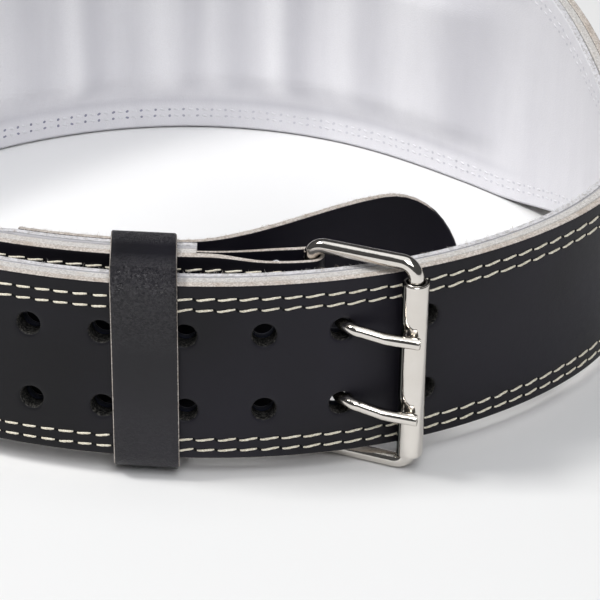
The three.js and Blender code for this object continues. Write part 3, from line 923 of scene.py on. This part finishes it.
keeper_points, keeper_raw, keeper_bend = keeper_band()
keeper = new_piece(
    "keeper_band",
    keeper_points.reshape(-1, 3),
    grid_quads(*keeper_points.shape[:2], closed_columns=True, closed_rows=True),
    raw=keeper_raw.ravel(),
    ink=keeper_raw.ravel() * 0,
    bend=keeper_bend.ravel(),
)
keeper.data.materials.append(black_leather("black_keeper_leather", wrinkled=True))
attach(keeper, "root")
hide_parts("keeper")


# The buckle's frame: 5 mm steel wire bent to a rectangle, welded shut and nickel plated. Its bar
# lies in the folded leather, its outer side carries the roller.
wire_radius = frame_wire / 2
frame_low = wire_radius
bend_radius = 5


def wire(path, side, radius, thick=None, sides=24):
    """Round sections along a path in one plane: side is square to the plane, and thick is the
    radius along it where the wire is flattened"""
    ahead = np.gradient(path, axis=0)
    ahead /= np.linalg.norm(ahead, axis=1, keepdims=True)
    across = np.cross(side, ahead)
    turn = 2 * np.pi * np.arange(sides) / sides
    radius = np.broadcast_to(np.asarray(radius, float), len(path))[:, None, None]
    if thick is None:
        thick = radius
    else:
        thick = np.broadcast_to(np.asarray(thick, float), len(path))[:, None, None]
    flat = radius * np.cos(turn)[None, :, None] * across[:, None]
    return path[:, None] + flat + thick * np.sin(turn)[None, :, None] * np.asarray(side, float)


def frame_loop():
    """Quarter circles at the corners, joined by straights; a closed wire of round sections"""
    corners = [
        (frame_reach - bend_radius, frame_low + bend_radius, -0.5),
        (frame_reach - bend_radius, frame_high - bend_radius, 0.0),
        (bend_radius, frame_high - bend_radius, 0.5),
        (bend_radius, frame_low + bend_radius, 1.0),
    ]
    turn = np.pi * np.linspace(0, 0.5, 13)
    arcs = []
    for out, up, start in corners:
        angle = start * np.pi + turn
        arcs.append(np.stack([out + bend_radius * np.cos(angle), up + bend_radius * np.sin(angle)], -1))
    flat = []
    for arc, following in zip(arcs, arcs[1:] + arcs[:1]):
        flat.append(arc)
        flat.append(mix(arc[-1], following[0], np.linspace(0, 1, 12)[1:-1, None]))
    flat = np.concatenate(flat)
    centre = bar_centre + flat[:, :1] * reach_way
    path = np.concatenate([centre, flat[:, 1:]], -1)
    closed = np.concatenate([path[-1:], path, path[:1]])
    side = np.array([-reach_way[1], reach_way[0], 0])
    return wire(closed, side, wire_radius)[1:-1]


frame_points = frame_loop()
buckle_frame = new_piece(
    "buckle_wire_frame",
    frame_points.reshape(-1, 3),
    grid_quads(*frame_points.shape[:2], closed_columns=True, closed_rows=True),
)


def bright_nickel(name):
    """Nickel plate: warm grey metal with a soft unevenness and faint fine scratches, with a painted
    dark reflection where the attribute shade is 1"""
    finish, point = new_finish(name)
    wear = point.noise(90, 4, 0.6)
    scratches = point.stretched((900, 900, 60)).noise(4, 3, 0.7)
    rough = 0.07 + wear * 0.08 + scratches.ramp(0.6, 0.75) * 0.1
    waves = point.noise(220, 2) + scratches * 0.05
    colour = wear.blend(tone(214, 208, 200), tone(232, 228, 222))
    return surface(
        finish,
        point,
        # Painted dark reflection on the roller's strip beside the seam
        Base_Color=point.attribute("shade").blend(colour, tone(30, 36, 34)),
        Metallic=1.0,
        Roughness=rough,
        Normal=waves.bump(0.00006),
    )


nickel = bright_nickel("bright_nickel_plate")
buckle_frame.data.materials.append(nickel)
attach(buckle_frame, "root")
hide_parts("buckle_frame")


# The roller: a strip of nickel plated steel rolled to a tube on the frame's outer side, with an
# open seam down its left and a small dent where each prong has worn it.
roller_radius = 8.7 / 2
roller_bore = 6.1 / 2
roller_length = 63.2
roller_lift = 1.3
seam_angle = math.radians(213)
seam_half = math.radians(4)
seam_wear = math.radians(26)
# Breadth of the strip beside the seam that is painted dark as a reflection, and its fade
seam_dark_reflection = math.radians(42)
dark_reflection_fade = math.radians(10)
dent_depth = 0.45
dent_reach = 2.4
wear_reach = 1.5
prong_drops = (2.9, 2)


def roller_tube():
    """Rows go up the tube, columns round its wall: outside from seam to seam, then back inside.
    The seam's right lip is worn back in a bell just above each prong. The second value is 1 on a
    strip beside the seam's left lip, painted dark as a reflection of the leather."""
    across = np.linspace(0, 1, 65)
    outside = np.concatenate([across * 0 + 1, across * 0])
    soft = 0.3
    lift = np.array([0, 0.1, soft])
    shrink = np.array([soft, 0.1, 0])
    body = np.linspace(soft, roller_length - soft, 80)[1:-1]
    up = np.concatenate([lift, body, roller_length - lift[::-1]])
    loss = np.concatenate([shrink, body * 0, shrink[::-1]])
    z = frame_wire + roller_lift + up
    dent = z * 0
    wear_and_shade_bell = z * 0
    for height, drop in zip(hole_heights, prong_drops):
        dent = dent + np.exp(-(((z - height + drop - 2) / dent_reach) ** 2))
        wear_and_shade_bell = wear_and_shade_bell + np.exp(-(((z - height + drop - 3.4) / wear_reach) ** 2))
    start = (seam_half + seam_wear * wear_and_shade_bell)[:, None]
    turn = seam_angle + mix(start, 2 * np.pi - seam_half, across)
    around = np.concatenate([turn, turn[:, ::-1]], 1)
    off = (around - seam_angle + np.pi) % (2 * np.pi) - np.pi
    near_seam = np.exp(-((off / 0.8) ** 2))
    radius = mix(roller_bore, roller_radius - loss[:, None], outside)
    radius = radius - dent_depth * dent[:, None] * near_seam
    x = roller_centre[0] + radius * np.cos(around)
    y = roller_centre[1] + radius * np.sin(around)
    near_lip = (around - seam_angle - 2 * np.pi + seam_dark_reflection) / dark_reflection_fade
    return np.stack([x, y, np.broadcast_to(z[:, None], x.shape)], -1), smooth(near_lip) * outside


roller_points, roller_shade = roller_tube()
roller_rows = roller_points.shape[1]
roller_last = (len(roller_points) - 1) * roller_rows
rim = np.arange(roller_rows // 2 - 1)
rim_quads = np.stack([rim, rim + 1, roller_rows - 2 - rim, roller_rows - 1 - rim], -1)
roller_quads = np.concatenate(
    [
        grid_quads(len(roller_points), roller_rows, closed_rows=True).reshape(-1, 4),
        rim_quads[:, ::-1],
        rim_quads + roller_last,
    ]
)
roller = new_piece(
    "seamed_roller", roller_points.reshape(-1, 3), roller_quads, shade=roller_shade.ravel()
)
roller.data.materials.append(nickel)
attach(roller, "root")
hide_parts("roller")


# The prongs: nickel plated wire, each with a flattened eye bent round the bar. It comes up through
# a punched hole, bends and lies on the roller, cut off flat just past it.
prong_radius = prong_wire / 2
eye_radius = wire_radius + turn_gap + prong_eye_wall
eye_turn = 1.15 * np.pi
prong_tip_angle = math.radians(11)
prong_overhang = 3
prong_bend_back = 8.5
prong_lift = 0.9
prong_bend_share = 0.65
hole_radius = 3.9


def through(points, steps):
    """Centripetal Catmull-Rom curve through the points, with mirrored ends"""
    points = np.concatenate([2 * points[:1] - points[1:2], points, 2 * points[-1:] - points[-2:-1]])
    spans = np.linalg.norm(np.diff(points, axis=0), axis=1) ** 0.5
    knots = np.concatenate([[0], np.cumsum(spans)])
    runs = []
    for k in range(1, len(points) - 2):
        a, b, c, d = points[k - 1 : k + 3]
        p, q, r, s = knots[k - 1 : k + 3]
        t = np.linspace(q, r, steps + 1)[:-1, None]
        ab = mix(a, b, (t - p) / (q - p))
        bc = mix(b, c, (t - q) / (r - q))
        cd = mix(c, d, (t - r) / (s - r))
        low = mix(ab, bc, (t - p) / (r - p))
        high = mix(bc, cd, (t - q) / (s - q))
        runs.append(mix(low, high, (t - q) / (r - q)))
    return np.concatenate(runs + [points[-2:-1]])


def prong(name, height, drop):
    """The eye's circle round the bar, then a smooth path up through the hole, over its far edge
    and down on to the roller"""
    tip_along = np.array([math.cos(prong_tip_angle), -math.sin(prong_tip_angle)])
    tip_out = np.array([-math.sin(prong_tip_angle), -math.cos(prong_tip_angle)])
    rest = roller_centre + tip_out * (roller_radius + prong_radius + turn_gap / 2)
    clear = plan(hole_place - 0.8 * hole_radius, -prong_radius - 2 * slide_gap)
    bend = rest - prong_bend_back * tip_along
    bend_drop = -drop * prong_bend_share
    route = [
        (plan(hole_place + 0.7, stack + 1.8), 0),
        (plan(hole_place - 0.2, stack - 2.2), prong_lift / 2),
        (plan(hole_place - 0.2, leather), prong_lift),
        (clear, prong_lift),
        (mix(clear, bend, 0.3), mix(prong_lift, bend_drop, 0.3)),
        (mix(clear, bend, 0.85), mix(prong_lift, bend_drop, 0.85)),
        (bend, bend_drop),
        (rest + prong_overhang * tip_along, -drop),
    ]
    route = np.array([(*flat, lift) for flat, lift in route])
    eye_middle = eye_radius - prong_eye_wall / 2
    root = route[0, :2] - bar_centre
    turn = math.atan2(root[1], root[0]) + np.linspace(eye_turn, 0.1, 8)
    circle = bar_centre + eye_middle * np.stack([np.cos(turn), np.sin(turn)], -1)
    circle = np.concatenate([circle, np.zeros((8, 1))], -1)
    path = through(np.concatenate([circle, route]), 10)
    run = np.concatenate([[0], np.cumsum(np.linalg.norm(np.diff(path, axis=0), axis=1))])
    even = np.linspace(0, run[-1], 130)
    path = np.stack([np.interp(even, run, path[:, k]) for k in range(3)], -1)
    eye_run = eye_middle * eye_turn
    flat = mix(prong_eye_wall / 2, prong_radius, smooth((even - eye_run + 1) / 4))
    bevel = 0.25 * (1 - smooth((run[-1] - even) / 0.5))
    path[:, 2] += height
    points = wire(path, np.array([0, 0, 1.0]), flat - bevel, prong_radius - bevel)
    count, sides = points.shape[:2]
    ends = [np.arange(sides)[::-1], (count - 1) * sides + np.arange(sides)]
    piece = new_piece(name, points.reshape(-1, 3), grid_quads(count, sides, closed_rows=True), ends)
    piece.data.materials.append(nickel)
    return piece


for node, height, drop in zip(("prong_lower", "prong_upper"), hole_heights, prong_drops):
    piece = prong("nickel_" + node, height, drop)
    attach(piece, "root")
    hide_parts(node)


# The stitches: waxed cream thread in two rows along each edge, through all the layers. On the
# black face each stitch stands up, a little slanted; on the suede it is pulled in.
stitch_start = bar_place + 11
past_keeper = ring_length + keeper_place


def stitch_run(inset_in, drop):
    """One row's run along the lower edge, round the tongue's nose and back along the upper edge,
    as a function that turns runs to places and heights, and the run's whole length"""
    radius = nose - inset_in
    straight = tip_place - nose - stitch_start
    whole = 2 * straight + np.pi * radius

    def at(run):
        turn = np.clip((run - straight) / radius, 0, np.pi)
        low = run < straight
        high = run > straight + np.pi * radius
        place = np.where(low, stitch_start + run, tip_place - nose + radius * np.sin(turn))
        place = np.where(high, stitch_start + whole - run, place)
        side = np.where(low, -1, np.where(high, 1, -np.cos(turn)))
        return place, middle_height(place) + side * (width_at(place) / 2 - inset_in) - drop

    return at, whole


def stitches(
    name, rows, face, out, drop, pitches, lengths, slants,
    thread, proud, sink, swell, puncture, pit, seed,
):
    """Each stitch is a short twisted thread along its row: a grid of lengthwise steps and of
    angles, proud of the face by a bell of that power, with its ends sunk beside a flat oval disc
    painted dark as the shade in its puncture, as dark as given for its place. Its number is the
    integral of one over the pitch, and pitches, lengths and slants are given to the right of the
    keeper and past it."""
    generator = np.random.default_rng(seed)
    step_count = 12
    sides = 8
    run_step = 0.5
    steps = np.linspace(-1, 1, step_count)
    turn = 2 * np.pi * np.arange(sides) / sides
    blocks, pits, darks = [], [], []
    for inset_in in rows:
        at, whole = stitch_run(inset_in, drop)
        fine = np.arange(0, whole, run_step)
        past = smooth((at(fine)[0] - past_keeper) / 6)
        number = np.cumsum(run_step / mix(pitches[0], pitches[1], past))
        middles = np.interp(np.arange(0.5, number[-1]), number, fine)
        middle_place = at(middles)[0]
        past = smooth((middle_place - past_keeper) / 6)
        count = len(middles)
        length = mix(lengths[0], lengths[1], past) * generator.normal(1, 0.04, count)
        slant = mix(slants[0], slants[1], past) + generator.normal(0, 0.06, count)
        run = (middles + generator.normal(0, 0.1, count))[:, None] + steps * length[:, None] / 2
        place, height = at(run)
        along = (place - middle_place[:, None]) / length[:, None] * 2
        height = height - slant[:, None] * (along + 0.35 * np.sin(np.pi * along))
        lift = proud - (proud + sink) * np.abs(steps) ** swell
        radius = thread * (1 - 0.5 * np.abs(steps) ** 3)
        depth = face(place) - out * lift
        ridge = radius[:, None] * (1 + 0.14 * np.cos(2 * (turn + steps[:, None] * 5)))
        z = height[..., None] + ridge * np.sin(turn)
        d = depth[..., None] - out * ridge * np.cos(turn)
        flat = plan(np.broadcast_to(place[..., None], z.shape), d)
        blocks.append(np.concatenate([flat, z[..., None]], -1))
        # Flat discs at the stitch's ends, painted dark as the shade in the punctures
        end = place[:, [0, -1]][..., None] + puncture * np.cos(turn)
        end_height = height[:, [0, -1]][..., None] + 0.8 * puncture * np.sin(turn)
        flat = plan(end, face(end) - out * 0.03)
        pits.append(np.concatenate([flat, end_height[..., None]], -1).reshape(-1, sides, 3))
        darks.append(np.repeat(pit(middle_place), 2 * sides))
    threads = np.concatenate(blocks)
    pits = np.concatenate(pits)
    size = step_count * sides
    quads = grid_quads(step_count, sides, closed_rows=True).reshape(-1, 4)
    quads = (quads[None] + (np.arange(len(threads)) * size)[:, None, None]).reshape(-1, 4)
    caps = len(threads) * size + np.arange(len(pits) * sides).reshape(-1, sides)
    points = np.concatenate([threads.reshape(-1, 3), pits.reshape(-1, 3)])
    dark = np.concatenate([np.zeros(len(threads) * size), *darks])
    return new_piece(name, points, quads, caps.tolist(), pit=dark)


def waxed_thread(name, light, shade, puncture_shade):
    """Twisted cotton with a soft sheen, a painted highlight on the crests of its plies, and punctures
    painted dark as their shade
    """
    finish, point = new_finish(name)
    pit = point.attribute("pit")
    ply = point.noise(2200, 2)
    return surface(
        finish,
        point,
        # Painted highlight on the ply crests, and painted shade in the punctures
        Base_Color=pit.blend(ply.ramp(0.3, 0.7).blend(shade, light), puncture_shade),
        Roughness=0.6 + pit * 0.4,
        Normal=ply.bump(0.0001),
        Specular_IOR_Level=0.3,
    )


face_stitches = stitches(
    "face_stitches",
    rows=(4.1, 8.0),
    face=lambda place: place * 0,
    out=1,
    drop=0.75,
    pitches=(6.95, 6.25),
    lengths=(6.6, 5.3),
    slants=(0.28, 0.1),
    thread=0.38,
    proud=0.2,
    sink=0.6,
    swell=7,
    puncture=0.5,
    pit=lambda place: place * 0 + 1,
    seed=7,
)
# The third colour is the painted shade in the punctures
cream = waxed_thread("cream_thread", tone(250, 245, 230), tone(214, 204, 182), tone(8, 8, 8))
face_stitches.data.materials.append(cream)
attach(face_stitches, "root")


def lining_face(place):
    """Depth of the lining's inner face in its flat border"""
    return lining_depth + flap_room(place) + lining


def lining_pit(place):
    """How dark the punctures' painted shade is: strong left of the spine, and less past it"""
    return mix(0.85, 0.22, smooth((place - spine_place + 40) / 60))


lining_stitches = stitches(
    "lining_stitches",
    rows=(5.6, 8.5),
    face=lining_face,
    out=-1,
    drop=0,
    pitches=(6.4, 6.4),
    lengths=(6.3, 6.3),
    slants=(0.1, 0.1),
    thread=0.7,
    proud=-0.42,
    sink=1.5,
    swell=2,
    puncture=0.6,
    pit=lining_pit,
    seed=11,
)
# The third colour is the painted shade in the punctures
pale = waxed_thread("pale_thread", tone(234, 233, 237), tone(222, 221, 226), tone(128, 128, 152))
lining_stitches.data.materials.append(pale)
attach(lining_stitches, "root")


# Loose fibres: the cut edges of the leather, the suede and the guard are left raw, so short pale
# hairs of the flesh stand up from them.
def fibres(name, roots, reach, seed):
    """Three-sided hairs with a few lengthwise steps: each rises from its root and leans over by
    the square of its length, to a thin tip"""
    generator = np.random.default_rng(seed)
    count = len(roots)
    step_count = 4
    sides = 3
    steps = np.linspace(0, 1, step_count)
    length = reach * generator.gamma(2.0, 0.35, count).clip(0.2, 2.2)
    lean = generator.normal(0, 0.75, (count, 3))
    lean[:, 2] = generator.normal(-0.2, 0.2, count)
    rise = np.stack([lean[:, 0] * 0.3, lean[:, 1] * 0.3, np.ones(count)], -1)
    t = steps[None, :, None]
    spine = roots[:, None] + length[:, None, None] * (rise[:, None] * t + lean[:, None] * t * t)
    turn = 2 * np.pi * np.arange(sides) / sides
    ring = np.stack([np.cos(turn), np.sin(turn), turn * 0], -1)
    thin = 0.06 * (1 - 0.7 * steps)
    points = spine[:, :, None] + thin[None, :, None, None] * ring
    quads = grid_quads(step_count, sides, closed_rows=True).reshape(-1, 4)
    size = step_count * sides
    quads = (quads[None] + (np.arange(count) * size)[:, None, None]).reshape(-1, 4)
    piece = new_piece(name, points.reshape(-1, 3), quads)
    finish, point = new_finish(name)
    tint = point.noise(300, 1)
    colour = tint.ramp(0.35, 0.65).blend(tone(190, 176, 162), tone(236, 233, 230))
    piece.data.materials.append(surface(finish, point, Base_Color=colour, Roughness=0.9))
    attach(piece, "root")
    return piece


edge_hairs = 7000
guard_hairs = 1500
generator = np.random.default_rng(5)
hair_places = generator.uniform(lining_place, tip_place - nose, edge_hairs)
hair_depths = generator.choice([0.45, 1.2, 2.2, 6.6, 7.6, 8.6], edge_hairs)
hair_depths = hair_depths + generator.normal(0, 0.2, edge_hairs)
hair_room = splay * (hair_places < guard_place) * (hair_depths > lining_depth - 1)
hair_depths = hair_depths + hair_room
edge_tops = middle_height(hair_places) + width_at(hair_places) / 2 - 0.1
edge_roots = np.concatenate([plan(hair_places, hair_depths), edge_tops[:, None]], -1)
edge_fibres = fibres("edge_fibres", edge_roots, 0.7, 3)

guard_picks = generator.integers(0, guard_columns - 11, guard_hairs)
guard_share = generator.uniform(0, 1, (guard_hairs, 1))
guard_rows = generator.choice(top_edge[1:-1], guard_hairs)
guard_next = guard_points[guard_picks + 1, guard_rows]
guard_roots = mix(guard_points[guard_picks, guard_rows], guard_next, guard_share)
guard_fibres = fibres("guard_fibres", guard_roots, 0.6, 4)


# The studio: a white paper floor under soft light from the left, from above and from the front.
# Inside the ring the paper is painted lighter on the left, against the belt's shadow, and darker
# on the right, against the light that the lining bounces on it.
floor_size = 6
bpy.ops.mesh.primitive_plane_add(size=floor_size)
floor = bpy.context.object
floor.name = "floor"
floor_finish, floor_point = new_finish("white_floor")
# Painted light and shade: inside the ring the paper is lighter to the left, where the belt's shadow
# falls, and darker to the right, where the lining bounces light
left_paper_painted_light = (0.95, 0.95, 0.95, 1)
right_paper_painted_shade = (0.78, 0.78, 0.78, 1)
outer_paper = (0.86, 0.86, 0.86, 1)
across = floor_point.node("ShaderNodeSeparateXYZ", {}, {"Vector": floor_point}, "X")
away = floor_point.node("ShaderNodeVectorMath", {"operation": "LENGTH"}, {0: floor_point}, "Value")
inner_paper_light_and_shade = across.ramp(-0.14, 0.04).blend(left_paper_painted_light, right_paper_painted_shade)
paper = away.ramp(0.105, 0.14).blend(inner_paper_light_and_shade, outer_paper)
surface(floor_finish, floor_point, Base_Color=paper, Roughness=0.7, Specular_IOR_Level=0.2)
floor.data.materials.append(floor_finish)

# Each lamp's name, place in metres, size, power in watts and colour; it faces the belt
lamps = [
    ("key", (-2.15, -0.1, 2.8), 0.9, 74, (1.0, 0.99, 0.97)),
    ("top", (0.0, -0.3, 2.55), 2.5, 21, (0.975, 0.985, 1.0)),
    ("front", (0.4, -2.0, 2.3), 1.6, 40, (0.97, 0.98, 1.0)),
]
for name, place, size, power, colour in lamps:
    lamp = bpy.data.lights.new(name, "AREA")
    lamp.size = size
    lamp.energy = power
    lamp.color = colour
    lamp_object = bpy.data.objects.new(name, lamp)
    lamp_object.location = place
    lamp_object.rotation_euler = (-Vector(place)).to_track_quat("-Z", "Y").to_euler()
    bpy.context.scene.collection.objects.link(lamp_object)

world = bpy.data.worlds.new("studio")
world.use_nodes = True
world.node_tree.nodes["Background"].inputs["Color"].default_value = (0.97, 0.98, 1.0, 1)
world.node_tree.nodes["Background"].inputs["Strength"].default_value = 0.07
bpy.context.scene.world = world
bpy.context.scene.view_settings.view_transform = "Standard"
